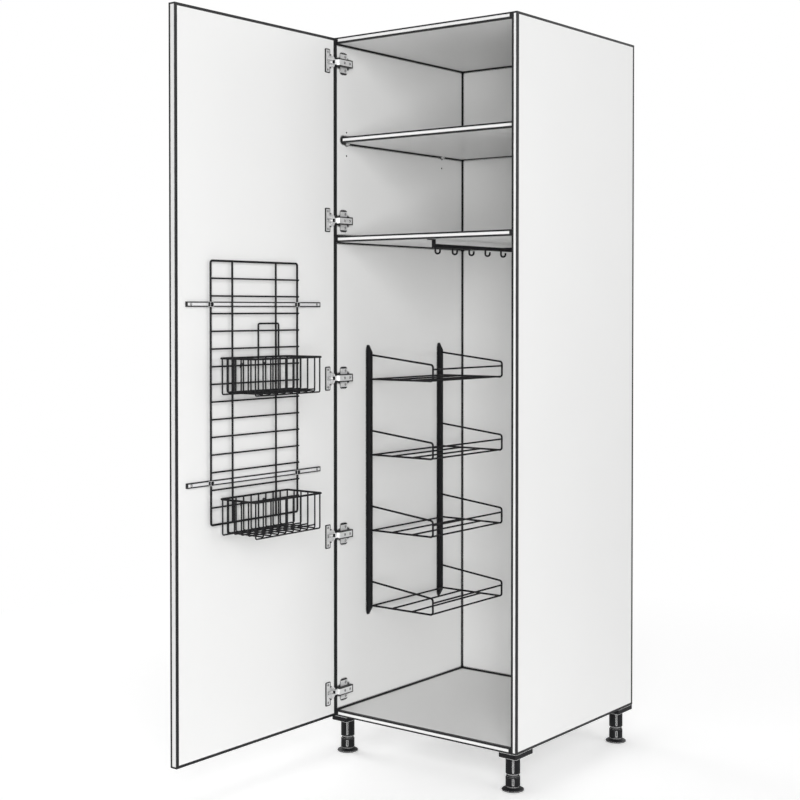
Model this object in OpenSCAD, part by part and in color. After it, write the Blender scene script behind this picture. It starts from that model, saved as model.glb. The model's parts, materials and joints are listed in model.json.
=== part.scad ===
// Tall housing cabinet for brooms, a vacuum cleaner and cleaning things, standing on four adjustable legs.
// It is drawn with its door open at a right angle.
// X 0 is the middle of the carcass, Y 0 is the plane of its front edges and Z 0 is the floor.

/* [Carcass] */
// Width over the outer faces of the sides
carcass_w = 600; // [500:1:700]
// Height of the sides, without the legs
carcass_h = 1850; // [1700:1:2100]
// Depth from the front edges to the rear edges of the sides
carcass_d = 600; // [560:1:650]
// Thickness of the carcass boards
board_t = 16; // [15:0.5:19]
// Thickness of the back panel
back_t = 3; // [2.5:0.5:5]
// Width of the rebate that takes the back panel
back_rebate = 8; // [6:0.5:10]
// Thickness of the edge bands
edge_t = 1; // [0.8:0.1:2]

/* [Shelves] */
// Height of the fixed shelf's underside over the underside of the carcass
fixed_shelf_z = 1295.6; // [1200:1:1400]
// Height of the adjustable shelf's underside over that of the fixed shelf
shelf_rise = 271.4; // [150:1:400]
// How far the adjustable shelf stands back from the front edges
shelf_setback = 22; // [5:1:60]
// Gap between the adjustable shelf and each side
shelf_side_gap = 0.75; // [0.5:0.25:2]
// Gap between the adjustable shelf and the back panel
shelf_back_gap = 5; // [1:1:20]
// Diameter of the shelf pins' shanks
pin_d = 5; // [4:0.5:7]
// Length of a shelf pin inside its board
pin_in = 8.5; // [6:0.5:10]
// Length of a shelf pin under the shelf
pin_out = 9; // [6:0.5:14]
// Pitch of the rows of pin holes
pin_pitch = 32; // [25:1:40]
// Distance of the front pin row from the front edges
pin_row_front = 45; // [40:1:70]
// Distance of the rear pin row from the rear edges
pin_row_rear = 110; // [60:1:160]

/* [Board fittings] */
// Diameter of the wooden dowels
dowel_d = 8; // [6:1:8]
// Length of a dowel
dowel_l = 34; // [30:1:38]
// Length of a dowel inside the side board
dowel_in = 11; // [9:0.5:12]
// Distance of the outer dowels from the front and rear edges
dowel_inset = 96; // [80:1:140]
// Diameter of the cam locks
cam_d = 15; // [12:1:18]
// Height of the cam locks
cam_h = 12.5; // [11:0.5:13.5]
// Distance from a board's end to the middle of its cam lock
cam_reach = 34; // [28:1:40]
// Distance of the cam locks from the front and rear edges
cam_inset = 56; // [45:1:70]
// Diameter of the cam bolts
cam_bolt_d = 6; // [5:0.5:7]
// Length of a back panel screw
back_screw_l = 20; // [15:1:30]
// Number of back panel screws in each board
back_screws_n = 4; // [3:1:6]

/* [Legs] */
// Height of the legs
leg_h = 100; // [95:1:130]
// Width of a leg's top plate
leg_plate_w = 53; // [50:1:70]
// Depth of a leg's top plate
leg_plate_d = 80; // [70:1:100]
// Thickness of a leg's top plate
leg_plate_t = 13; // [8:0.5:13.5]
// Distance of the leg axes from the outer faces of the sides
leg_inset_x = 30; // [27:1:34]
// Distance of the front leg axes from the front edges
leg_inset_front = 32; // [28:1:45]
// Distance of the rear leg axes from the rear edges
leg_inset_rear = 40; // [28:1:45]
// Diameter of the sleeve and of the adjusting ring
sleeve_d = 37; // [34:0.5:40]
// Diameter of the leg's spindle
spindle_d = 24; // [18:0.5:26]
// Height of the pad at the foot
pad_h = 9.5; // [8.5:0.5:12]
// Diameter of the pad
pad_d = 57; // [48:0.5:64]
// Height of the adjusting ring
ring_h = 28; // [22:0.5:32]
// Groove between the pad and the ring
pad_groove = 1.5; // [1:0.5:4]
// Gap between the ring and the sleeve
ring_gap = 4; // [3.8:0.1:8]

/* [Door] */
// Thickness of the door
door_t = 22; // [18:0.5:22.5]
// Gap between the carcass and the closed door
door_gap = 3; // [2.5:0.5:4]
// How far the closed door stands in from the outer faces of the sides
door_reveal = 2; // [1:0.5:3]
// How far the door ends short of the carcass at its top and its bottom
door_end_gap = 1.5; // [0.5:0.5:4]

/* [Hinges] */
// Number of hinges
hinge_n = 5; // [4:1:6]
// Distance of the first and the last hinge from the ends of the carcass
hinge_end = 67; // [60:1:120]
// Diameter of the hinge cups
cup_d = 35; // [35:0.5:36]
// Depth of the hinge cups
cup_depth = 13.4; // [13.4:0.1:14]
// Wood left between the cup and the door's edge
cup_edge = 3; // [2.8:0.1:3.2]
// Height of the cup's mounting flange
flange_h = 65; // [58:1:70]
// Width of the cup's mounting flange
flange_w = 21; // [18:0.5:22]
// Thickness of the cup's mounting flange
flange_t = 1.2; // [0.8:0.1:1.4]
// Distance between the two screws of a cup
cup_screw_pitch = 48; // [45:1:52]
// Width of the hinge arm
arm_w = 21; // [18:0.5:22]
// Height of the hinge arm over the side
arm_h = 13; // [12:0.5:16]
// Distance of the arm's rear end from the front edges
arm_reach = 56; // [56:1:70]
// Height of the mounting plate's wings, end to end
wing_span = 56; // [50:1:60]
// Width of the mounting plate's wings
wing_w = 26; // [18:1:26]
// Thickness of the mounting plate's wings
wing_t = 2.5; // [2:0.5:4]
// Distance of the mounting plate's screws from the front edges
plate_row = 37; // [34:1:40]
// Distance between the two screws of a mounting plate
plate_screw_pitch = 38; // [34:1:42]

/* [Door grid] */
// Distance of the rails' ends from the hinge edge of the door
rail_start = 70; // [50:1:100]
// Length of the rails
rail_l = 494; // [460:1:510]
// Height of a rail
rail_h = 13; // [10:0.5:18]
// Thickness of a rail
rail_t = 6; // [4:0.5:7]
// Height of the lower rail's middle over the underside of the carcass
rail_low_z = 684; // [680:1:694]
// Distance between the rails' middles
rail_pitch = 441; // [434:1:448]
// Distance of the grid from the hinge edge of the door
grid_start = 167; // [160:1:180]
// Width of the grid over the middles of its outer wires
grid_w = 319.5; // [300:1:340]
// Height of the grid's lowest wire over the underside of the carcass
grid_z = 580; // [570:1:590]
// Pitch of the cross wires
grid_pitch = 43.49; // [42:0.01:45]
// Number of gaps between the cross wires
grid_rows = 15; // [14:1:16]
// Distance of the first upright wire from the wire nearest the hinges
grid_near = 83; // [70:1:90]
// Distance of the last upright wire from the wire furthest from the hinges
grid_far = 76; // [70:1:90]
// Diameter of the frame and upright wires
frame_wire_d = 5.4; // [4.5:0.1:5.5]
// Diameter of the cross wires
cross_wire_d = 4.2; // [3:0.1:4.2]

/* [Baskets] */
// Width of the baskets over the middles of the rim wire
basket_w = 246; // [230:1:250]
// Depth of the baskets over the middles of the rim wire
basket_d = 118; // [90:1:118]
// Height of the baskets from the floor wires to the rim wire
basket_h = 86; // [60:1:90]
// Distance of the baskets from the hinge edge of the door
basket_start = 217; // [205:1:225]
// Number of bars along a basket
basket_bars = 10; // [8:1:12]
// Number of bars along a basket's end
basket_end_bars = 6; // [5:1:7]
// Diameter of the rim wire
rim_wire_d = 5.2; // [4:0.1:5.2]
// Diameter of the basket's bars
bar_d = 3.8; // [2.8:0.1:3.8]
// Distance from the rim wire down to the grid wire that carries the basket
hang_drop = 20; // [10:1:30]
// Length of a basket's hooks behind the grid wire
hook_drop = 11; // [8:1:13]
// Width of the upper basket's loop
loop_w = 76; // [60:1:90]
// Height of the upper basket's loop over the rim wire
loop_h = 85; // [60:1:100]
// Distance from the basket's hinge side to the loop
loop_start = 33; // [25:1:45]

/* [Wall rack] */
// Height of the uprights' lower ends over the underside of the carcass
rack_z = 256; // [220:1:300]
// Length of the uprights
upright_l = 757; // [740:1:800]
// Depth of the uprights' channel
upright_d = 12; // [10:0.5:14]
// Width of the uprights' channel
upright_w = 11; // [10:0.5:14]
// Sheet thickness of the uprights
upright_t = 1.2; // [1:0.1:2]
// Height of the slanted ends of the uprights
upright_slant = 21; // [15:1:30]
// Distance of the front upright's middle from the front edges
rack_front = 139; // [139:1:160]
// Distance between the uprights' middles
rack_span = 337; // [300:1:360]
// Height of the lowest tray over the uprights' lower ends
tray_first = 26; // [24:1:40]
// Pitch of the trays
tray_pitch = 211.8; // [200:1:215]
// Number of trays
tray_n = 4; // [4:1:4]
// How far the trays stand out from the side
tray_reach = 228; // [180:1:240]
// Height of the trays' side wire at the upright
tray_side_h = 68; // [55:1:80]
// Height of the trays' side wire at its outer end
tray_end_h = 44; // [38:1:50]
// Height of the trays' outer rail over their floor
tray_rail_h = 32; // [20:1:34]
// Bending radius of the trays' side wires
tray_bend = 8; // [6:1:9]
// Diameter of the trays' side wires
tray_wire_d = 5.4; // [4.4:0.1:5.6]
// Diameter of the trays' floor wires
floor_wire_d = 4.8; // [3.4:0.1:4.8]
// Number of wires in a tray's floor
floor_wires = 4; // [3:1:6]

/* [Hook rail] */
// Distance of the rail from the middle of the cabinet
hook_rail_x = 17; // [-60:1:100]
// Distance of the rail's front end from the front edges
hook_rail_front = 38; // [30:1:60]
// Length of the rail
hook_rail_l = 434; // [420:1:480]
// Width of the rail
hook_rail_w = 12; // [11:0.5:16]
// Height of the rail
hook_rail_h = 9.5; // [8:0.5:12]
// Distance from the shelf down to the underside of the rail
hook_rail_drop = 21.5; // [20:0.5:30]
// Sheet thickness of the rail
hook_rail_t = 1.5; // [1.2:0.1:2]
// Distance of the first hook from the rail's front end
hook_start = 8; // [7:1:20]
// Pitch of the hooks
hook_pitch = 77.5; // [70:0.5:79]
// Number of hooks
hook_n = 6; // [4:1:6]
// Diameter of the hooks' wire
hook_wire_d = 5; // [4:0.1:5]
// Bending radius of the hooks
hook_bend = 6.5; // [5:0.1:6.6]
// Width of a hook over the middles of its wire
hook_w = 15; // [14:0.5:20]
// How far a hook reaches below the rail
hook_reach = 18; // [16:1:30]
// Length of the straight tip of a hook
hook_tip = 4; // [2:0.5:4]

/* [Fits] */
// Radial clearance of screws, pins and dowels in their holes
fit = 0.05; // [0.03:0.01:0.08]
// Gap between round pieces that lie against each other
seat_gap = 0.3; // [0.3:0.05:0.5]
// Gap around the back panel in its rebate
panel_gap = 0.5; // [0.2:0.1:1]

/* [Hidden] */

$fn = 48;
wire_fn = 16;
small_fn = 24;
bend_swell = 0.06;
bend_lap = 0.3;
cut = 1;

// Planes of the carcass
xo = carcass_w / 2;
xi = xo - board_t;
z0 = leg_h;
z1 = leg_h + carcass_h;
board_d = carcass_d - back_t;

// Undersides of the boards that lie between the sides
board_zs = [z0, z0 + fixed_shelf_z, z1 - board_t];
shelf_z = z0 + fixed_shelf_z + shelf_rise;
pin_flat = pin_d / 2 - 0.5;
pin_head_d = pin_d + 2;
pin_rows = [pin_row_front, carcass_d - pin_row_rear];
dowel_ys = [dowel_inset, carcass_d / 2, carcass_d - dowel_inset];
cam_ys = [cam_inset, carcass_d - cam_inset];
cam_bolt_in = 11;
cam_slot = cam_bolt_d + 2;
back_screw_d = 3;
back_screw_head_d = 6.5;
back_screw_inset = 50;

// Height of the leg's parts over the floor
ring_z = pad_h + pad_groove;
sleeve_z = ring_z + ring_h + ring_gap;
leg_plate_z = leg_h - leg_plate_t;
leg_roof = 4;
leg_screw_d = 4;
leg_screw_head_d = 8;
leg_screw_l = leg_plate_t + 11;
leg_screw_inset = 7.5;
notch_turn = -55;

// The closed door's hinge edge and the open one lie the same way to this upright axis
door_w = carcass_w - 2 * door_reveal;
door_h = carcass_h - 2 * door_end_gap;
pole_r = (board_t - door_reveal) / 2;
pole = [-xi - pole_r, -door_gap - pole_r];
hinge_zs = [for (i = [0 : hinge_n - 1]) z0 + hinge_end + i * (carcass_h - 2 * hinge_end) / (hinge_n - 1)];

// Hinge parts: each is the same distance from the middle plane of its hinge, up and down
cup_s = cup_edge + cup_d / 2;
cup_wall = 1.5;
cup_floor = 1;
knuckle_half = 2.8;
knuckle_r = 2.4;
link_in = 3;
link_out = 4.8;
cheek_in = 5;
cheek_out = 6.5;
lug_out = 6.8;
cheek_r = 2.2;
pole_pin_d = 3;
link_pin_d = 2.5;
link_r = 2.2;
// Place of the link's pin in the cup: distance from the door's edge and depth under its face
link_pin_s = 30;
link_pin_n = 5;
link_pin_open = [pole_r - link_pin_n, pole_r - link_pin_s];
link_pin_closed = [link_pin_s - pole_r, pole_r - link_pin_n];
link_pin_mid = link_pin_open + link_pin_closed;
// Place of the link's pin in the arm, from the hinge axis
arm_pin = 4 * link_pin_mid / norm(link_pin_mid);
link_l = norm(link_pin_open - arm_pin);
link_slot_in = 1.7;
link_slot_out = 1.25;
link_slot_r = link_pin_d / 2 + 0.5;
link_end_r = link_slot_r + 1;
neck_x = pole_r + 2;
neck_t = 5;
neck_low = 3;
arm_wall = 1.5;
arm_low = wing_t + 0.3;
arm_screw_ys = [22, arm_reach - 12];
arm_screw_d = 4;
arm_screw_head_d = 7.5;
arm_screw_head_h = 1.6;
ear_back = 12;
cup_screw_d = 3.5;
cup_screw_head_d = 7;
cup_screw_l = 14;
plate_screw_d = 4.5;
plate_screw_head_d = 8;
plate_screw_l = wing_t + 12;

// Places on the open door: distances from its inner face
grid_x = rail_t + seat_gap + frame_wire_d / 2;
cross_x = grid_x + frame_wire_d / 2 + cross_wire_d / 2 - 0.5;
basket_x = cross_x + cross_wire_d / 2 + 0.5 + rim_wire_d / 2;
grid_h = grid_rows * grid_pitch;
grid_bend = 5.5;
rail_zs = [z0 + rail_low_z, z0 + rail_low_z + rail_pitch];
rail_screw_d = 4;
rail_screw_head_d = 7.5;
rail_screw_l = rail_t + 13;
rail_screw_inset = 14;
clip_w = 11;
clip_t = 3;
lower_row = 1;
upper_row = 9;

// Wall rack
uprights_y = [rack_front, rack_front + rack_span];
tray_zs = [for (k = [0 : tray_n - 1]) z0 + rack_z + tray_first + k * tray_pitch];
rack_screw_d = 3.5;
rack_screw_head_d = 7;
rack_screw_l = upright_d + 11;
rack_screw_inset = 60;

// Hook rail
hook_rail_z = z0 + fixed_shelf_z - hook_rail_drop;
hook_rail_foot = 22;
hook_screw_d = 3.5;
hook_screw_head_d = 7;
hook_screw_l = hook_rail_t + 12;

white_c = [0.93, 0.93, 0.92];
band_c = [0.85, 0.85, 0.84];
steel_c = [0.72, 0.73, 0.75];
alu_c = [0.8, 0.81, 0.82];
black_c = [0.09, 0.09, 0.1];
wood_c = [0.8, 0.65, 0.45];

// Round bars and bent wires

function heading(a, b) = atan2(b[1] - a[1], b[0] - a[0]);

function turn(a, b, c) =
    let (t = heading(b, c) - heading(a, b))
    t > 180 ? t - 360 : t < -180 ? t + 360 : t;

function trim(a, b, c, bend) = bend * tan(abs(turn(a, b, c)) / 2);

// A straight round bar from point a to point b
module rod(a, b, d) {
    v = b - a;
    translate(a)
        rotate([0, acos(v[2] / norm(v)), atan2(v[1], v[0])])
            cylinder(d = d, h = norm(v), $fn = wire_fn);
}

// The bend of a wire that comes from a, turns at b and leaves for c
module wire_bend(a, b, c, bend, d) {
    t = turn(a, b, c);
    h = heading(a, b);
    start = b - trim(a, b, c, bend) * [cos(h), sin(h)];
    centre = start + sign(t) * bend * [-sin(h), cos(h)];
    translate([centre[0], centre[1], 0])
        rotate([0, 0, t > 0 ? h - 90 : h + 90 + t])
            rotate_extrude(angle = abs(t))
                translate([bend, 0])
                    circle(d = d, $fn = wire_fn);
}

// A round wire in the XY plane along the points, with round bends between its straight runs.
// A wire that swells is that much thicker in its bends, and its runs reach a little way into them.
module wire(points, bend, d, closed = false, swell = 0) {
    n = len(points);
    lap = swell > 0 ? bend_lap : 0;
    runs = closed ? n : n - 1;
    for (i = [0 : runs - 1]) {
        a = points[i];
        b = points[(i + 1) % n];
        along = (b - a) / norm(b - a);
        from_a = !closed && i == 0 ? 0 : trim(points[(i + n - 1) % n], a, b, bend) - lap;
        to_b = !closed && i == runs - 1 ? 0 : trim(a, b, points[(i + 2) % n], bend) - lap;
        p = a + from_a * along;
        q = b - to_b * along;
        rod([p[0], p[1], 0], [q[0], q[1], 0], d);
    }
    for (i = [closed ? 0 : 1 : closed ? n - 1 : n - 2])
        wire_bend(points[(i + n - 1) % n], points[i], points[(i + 1) % n], bend, d + swell);
}

// Stands a flat drawing up: its x runs along X and its y along Z
module facing_front(y) {
    translate([0, y, 0])
        rotate([90, 0, 0])
            children();
}

// Stands a flat drawing up: its x runs along Y and its y along Z
module facing_side(x) {
    translate([x, 0, 0])
        rotate([90, 0, 90])
            children();
}

// Turns a piece drawn along +Z so that it points along +X
module along_x() {
    rotate([0, 90, 0])
        children();
}

module rounded_square(w, d, r) {
    translate([r, 0])
        square([w - 2 * r, d]);
    translate([0, r])
        square([w, d - 2 * r]);
    for (x = [r, w - r], y = [r, d - r])
        translate([x, y])
            circle(r = r, $fn = small_fn);
}

// A bar with round ends between two points
module stadium(a, b, r) {
    for (p = [a, b])
        translate(p)
            circle(r = r, $fn = small_fn);
    translate(a)
        rotate([0, 0, heading(a, b)])
            translate([0, -r])
                square([norm(b - a), 2 * r]);
}

// Countersunk screw with its head's top at the origin and its point down
module screw(l, d, head_d) {
    head_h = (head_d - d) / 2;
    rotate_extrude($fn = small_fn)
        polygon([[0, 0], [head_d / 2, 0], [d / 2, -head_h], [d / 2, -l + d / 2], [0, -l]]);
}

// The hole for that screw
module screw_hole(l, d, head_d) {
    head_h = (head_d - d) / 2;
    rotate_extrude($fn = small_fn)
        polygon([[0, cut], [head_d / 2 + fit, cut], [head_d / 2 + fit, 0], [d / 2 + fit, -head_h],
            [d / 2 + fit, -l - fit], [0, -l - fit]]);
}

// Screw with a low round head on the surface
module pan_screw(l, d, head_d, head_h) {
    rotate_extrude($fn = small_fn)
        polygon([[0, head_h], [head_d * 0.3, head_h], [head_d / 2, head_h * 0.4], [head_d / 2, 0],
            [d / 2, 0], [d / 2, -l + d / 2], [0, -l]]);
}

// Edge strip of the given width with rounded outer edges: outer face at y 0, glued face at y edge_t
module edge_profile(w) {
    translate([edge_t, 0])
        square([w - 2 * edge_t, edge_t]);
    intersection() {
        square([w, edge_t]);
        for (x = [edge_t, w - edge_t])
            translate([x, edge_t])
                circle(r = edge_t, $fn = small_fn);
    }
}

// Carcass boards

// Places of the back screws along a board
function back_screw_xs() =
    [for (i = [0 : back_screws_n - 1])
        -xi + back_screw_inset + i * (2 * xi - 2 * back_screw_inset) / (back_screws_n - 1)];

// Back screws, each with its head flush with the back
module at_back_screws() {
    for (z = board_zs, x = back_screw_xs())
        translate([x, carcass_d, z + board_t / 2])
            rotate([-90, 0, 0])
                children();
}

// A side board from its inner face at X 0 to its outer face, with the bores for what every side carries
module side_board() {
    difference() {
        translate([0, edge_t, z0])
            cube([board_t, carcass_d - edge_t, carcass_h]);
        translate([-cut, board_d, z0 - cut])
            cube([back_rebate + cut, back_t + cut, carcass_h + 2 * cut]);
        for (z = board_zs) {
            for (y = dowel_ys)
                translate([-cut, y, z + board_t / 2])
                    along_x()
                        cylinder(r = dowel_d / 2 + fit, h = dowel_in + cut + fit);
            for (y = cam_ys)
                translate([-cut, y, z + board_t / 2])
                    along_x()
                        cylinder(r = cam_bolt_d / 2 + fit, h = cam_bolt_in + cut + fit);
        }
        for (y = pin_rows, k = [-1 : 1])
            translate([-cut, y, shelf_z - pin_flat + k * pin_pitch])
                along_x()
                    cylinder(r = pin_d / 2 + fit, h = pin_in + cut + fit, $fn = small_fn);
    }
}

module right_side() {
    color(white_c)
        translate([xi, 0, 0])
            side_board();
}

module left_side() {
    color(white_c)
        difference() {
            translate([-xi, 0, 0])
                mirror([1, 0, 0])
                    side_board();
            at_plate_screws()
                screw_hole(plate_screw_l, plate_screw_d, plate_screw_head_d);
            at_rack_screws()
                screw_hole(rack_screw_l, rack_screw_d, rack_screw_head_d);
        }
}

// A board between the sides, with its cam locks let in from above or from below
module lying_board(z, cams_above) {
    difference() {
        translate([-xi, edge_t, z])
            cube([2 * xi, board_d - edge_t, board_t]);
        for (side = [-1, 1]) {
            for (y = dowel_ys)
                translate([side * xi, y, z + board_t / 2])
                    rotate([0, -90 * side, 0])
                        translate([0, 0, -cut])
                            cylinder(r = dowel_d / 2 + fit, h = dowel_l - dowel_in + cut + fit);
            for (y = cam_ys) {
                translate([side * xi, y, z + board_t / 2])
                    rotate([0, -90 * side, 0])
                        translate([0, 0, -cut])
                            cylinder(d = cam_slot, h = cam_reach + cut);
                translate([side * (xi - cam_reach), y, cams_above ? z + board_t - cam_h : z - cut])
                    cylinder(r = cam_d / 2 + fit, h = cam_h + cut);
            }
        }
        for (x = back_screw_xs())
            translate([x, carcass_d, z + board_t / 2])
                rotate([-90, 0, 0])
                    translate([0, 0, -back_screw_l - fit])
                        cylinder(r = back_screw_d / 2 + fit, h = back_screw_l, $fn = small_fn);
    }
}

module top_panel() {
    color(white_c)
        lying_board(board_zs[2], true);
}

module bottom_panel() {
    color(white_c)
        difference() {
            lying_board(board_zs[0], false);
            at_leg_screws()
                screw_hole(leg_screw_l, leg_screw_d, leg_screw_head_d);
        }
}

module fixed_shelf() {
    color(white_c)
        difference() {
            lying_board(board_zs[1], false);
            at_hook_screws()
                screw_hole(hook_screw_l, hook_screw_d, hook_screw_head_d);
        }
}

module adjustable_shelf() {
    w = 2 * xi - 2 * shelf_side_gap;
    color(white_c)
        translate([-w / 2, shelf_setback + edge_t, shelf_z])
            cube([w, board_d - shelf_back_gap - shelf_setback - edge_t, board_t]);
}

module back_panel() {
    w = 2 * (xi + back_rebate - panel_gap);
    color(white_c)
        difference() {
            translate([-w / 2, board_d, z0])
                cube([w, back_t, carcass_h]);
            at_back_screws()
                screw_hole(back_screw_l, back_screw_d, back_screw_head_d);
        }
}

// Bands on the front edges of the sides and of the boards between them
module edge_bands() {
    color(band_c) {
        for (x = [-xo, xi])
            translate([x, 0, z0])
                linear_extrude(carcass_h)
                    edge_profile(board_t);
        for (z = board_zs)
            translate([-xi, 0, z])
                board_band(2 * xi);
    }
}

module shelf_edge_band() {
    color(band_c)
        translate([-xi + shelf_side_gap, shelf_setback, shelf_z])
            board_band(2 * xi - 2 * shelf_side_gap);
}

// A band lying along X, its lower edge at the origin
module board_band(l) {
    translate([l, 0, 0])
        rotate([0, -90, 0])
            linear_extrude(l)
                edge_profile(board_t);
}

// Flat-topped pins in the sides, under the adjustable shelf
module shelf_pins() {
    color(steel_c)
        for (side = [-1, 1], y = pin_rows)
            translate([side * xi, y, shelf_z - pin_flat])
                difference() {
                    rotate([0, -90 * side, 0]) {
                        translate([0, 0, -pin_in])
                            cylinder(d = pin_d, h = pin_in + pin_out, $fn = small_fn);
                        cylinder(d = pin_head_d, h = pin_out, $fn = small_fn);
                    }
                    translate([side > 0 ? -pin_out - cut : -0.001, -pin_head_d, pin_flat])
                        cube([pin_out + cut, 2 * pin_head_d, pin_head_d]);
                }
}

module carcass_dowels() {
    color(wood_c)
        for (side = [-1, 1], z = board_zs, y = dowel_ys)
            translate([side * (xi + dowel_in), y, z + board_t / 2])
                rotate([0, -90 * side, 0])
                    cylinder(d = dowel_d, h = dowel_l);
}

// Bolts from the sides into the cam locks, each with a ball-shaped end that the lock draws in
module cam_bolts() {
    neck_d = cam_bolt_d - 2;
    l = cam_bolt_in + cam_reach;
    color(steel_c)
        for (side = [-1, 1], z = board_zs, y = cam_ys)
            translate([side * (xi + cam_bolt_in), y, z + board_t / 2])
                rotate([0, -90 * side, 0])
                    rotate_extrude($fn = small_fn)
                        polygon([[0, 0], [cam_bolt_d / 2, 0], [cam_bolt_d / 2, l - 10], [neck_d / 2, l - 9],
                            [neck_d / 2, l - 4], [cam_bolt_d / 2, l - 2], [cam_bolt_d / 2, l], [0, l]]);
}

// Round locks with a slot on the side that the bolt comes in from
module cam_locks() {
    color(steel_c)
        for (side = [-1, 1], k = [0 : 2], y = cam_ys) {
            z = k == 2 ? board_zs[k] + board_t - cam_h : board_zs[k];
            translate([side * (xi - cam_reach), y, z])
                difference() {
                    cylinder(d = cam_d, h = cam_h);
                    translate([0, 0, board_zs[k] + board_t / 2 - z])
                        rotate([0, 90 * side, 0])
                            translate([0, 0, -cam_bolt_d / 2])
                                cylinder(d = cam_slot, h = cam_d);
                    translate([-cam_d / 2 + 2, -0.8, k == 2 ? cam_h - 1 : -cut])
                        cube([cam_d - 4, 1.6, 1 + cut]);
                }
        }
}

module back_screws() {
    color(steel_c)
        at_back_screws()
            screw(back_screw_l, back_screw_d, back_screw_head_d);
}

// Legs

function leg_x(side) = side * (xo - leg_inset_x);

function leg_y(rear) = rear ? carcass_d - leg_inset_rear : leg_inset_front;

// Screws of a leg's plate: three, all of them in the bottom board
function leg_screw_places(side, rear) =
    let (outer = xo - board_t - leg_screw_inset,
        inner = xo - leg_plate_w + leg_screw_inset,
        edge_y = rear ? carcass_d - back_t - leg_screw_inset : edge_t + leg_screw_inset,
        far_y = rear ? carcass_d - leg_plate_d + leg_screw_inset : leg_plate_d - leg_screw_inset)
    [[side * inner, edge_y], [side * inner, far_y], [side * outer, far_y]];

module at_leg_screws() {
    for (side = [-1, 1], rear = [false, true], p = leg_screw_places(side, rear))
        translate([p[0], p[1], leg_plate_z])
            rotate([180, 0, 0])
                children();
}

// Plate and sleeve that are screwed under the bottom board
module leg_socket(side, rear) {
    color(black_c)
        difference() {
            union() {
                translate([side > 0 ? xo - leg_plate_w : -xo, rear ? carcass_d - leg_plate_d : 0,
                    leg_plate_z])
                    linear_extrude(leg_plate_t)
                        rounded_square(leg_plate_w, leg_plate_d, 3);
                translate([leg_x(side), leg_y(rear), sleeve_z])
                    cylinder(d = sleeve_d, h = leg_plate_z - sleeve_z + cut);
            }
            translate([leg_x(side), leg_y(rear), sleeve_z - cut])
                cylinder(r = spindle_d / 2 + fit, h = leg_h - leg_roof - sleeve_z + cut);
            translate([leg_x(side), leg_y(rear), sleeve_z + 5])
                rotate([0, 0, notch_turn])
                    translate([sleeve_d / 2 - 2, -1.5, 0])
                        cube([10, 3, leg_plate_z - sleeve_z - 5]);
            at_leg_screws()
                screw_hole(leg_screw_l, leg_screw_d, leg_screw_head_d);
        }
}

// Half outline of the foot: pad, groove, adjusting ring and spindle, from the floor up
module foot_profile() {
    pad_r = pad_d / 2;
    ring_r = sleeve_d / 2;
    neck_r = ring_r - 3;
    ring_top = ring_z + ring_h;
    spindle_z = leg_h - leg_roof - ring_gap;
    polygon([[0, 0], [pad_r - 2.5, 0], [pad_r - 0.6, 0.9], [pad_r, 2.4], [pad_r - 0.7, 3.9], [pad_r - 2.6, 5],
        [ring_r + 2, pad_h - 1.6], [ring_r - 0.5, pad_h], [neck_r, pad_h], [neck_r, ring_z],
        [ring_r - 1, ring_z], [ring_r, ring_z + 1], [ring_r, ring_top - 5], [ring_r - 1.4, ring_top - 1.6],
        [ring_r - 4.5, ring_top], [spindle_d / 2, ring_top], [spindle_d / 2, spindle_z - 1],
        [spindle_d / 2 - 1, spindle_z], [0, spindle_z]]);
}

// Foot that is screwed in and out to level the cabinet, with two grip slots in its ring
module leg_foot(side, rear) {
    color(black_c)
        translate([leg_x(side), leg_y(rear), 0])
            difference() {
                rotate_extrude()
                    foot_profile();
                for (turn_by = [0, 180])
                    rotate([0, 0, notch_turn + turn_by])
                        translate([sleeve_d / 2 - 3, -2, ring_z + 5])
                            cube([10, 4, ring_h - 12]);
            }
}

module leg_socket_front_left() { leg_socket(-1, false); }
module leg_socket_front_right() { leg_socket(1, false); }
module leg_socket_rear_left() { leg_socket(-1, true); }
module leg_socket_rear_right() { leg_socket(1, true); }
module leg_foot_front_left() { leg_foot(-1, false); }
module leg_foot_front_right() { leg_foot(1, false); }
module leg_foot_rear_left() { leg_foot(-1, true); }
module leg_foot_rear_right() { leg_foot(1, true); }

module leg_screws() {
    color(steel_c)
        at_leg_screws()
            screw(leg_screw_l, leg_screw_d, leg_screw_head_d);
}

// Door

// Moves a piece to the open door: X 0 is the inner face and Y runs back from the hinge edge as -Y
module on_door() {
    translate([-xi, -door_gap, 0])
        children();
}

module door() {
    color(white_c)
        difference() {
            on_door()
                translate([-door_t, -door_w + edge_t, z0 + door_end_gap + edge_t])
                    cube([door_t, door_w - 2 * edge_t, door_h - 2 * edge_t]);
            on_door()
                for (z = hinge_zs)
                    translate([0, -cup_s, z])
                        rotate([0, -90, 0])
                            translate([0, 0, -cut])
                                cylinder(d = cup_d, h = cup_depth + 0.1 + cut);
            at_cup_screws()
                screw_hole(cup_screw_l, cup_screw_d, cup_screw_head_d);
            at_rail_screws()
                screw_hole(rail_screw_l, rail_screw_d, rail_screw_head_d);
        }
}

// Bands on all four edges of the door, the upright ones running through
module door_edge_bands() {
    color(band_c)
        on_door() {
            translate([-door_t, -door_w, z0 + door_end_gap])
                linear_extrude(door_h)
                    edge_profile(door_t);
            translate([0, 0, z0 + door_end_gap])
                rotate([0, 0, 180])
                    linear_extrude(door_h)
                        edge_profile(door_t);
            translate([-door_t, -edge_t, z0 + door_end_gap])
                rotate([90, 0, 0])
                    linear_extrude(door_w - 2 * edge_t)
                        edge_profile(door_t);
            translate([-door_t, -door_w + edge_t, z0 + door_end_gap + door_h])
                rotate([-90, 0, 0])
                    linear_extrude(door_w - 2 * edge_t)
                        edge_profile(door_t);
        }
}

// Hinges

module at_hinges() {
    for (z = hinge_zs)
        translate([pole[0], pole[1], z])
            children();
}

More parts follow.
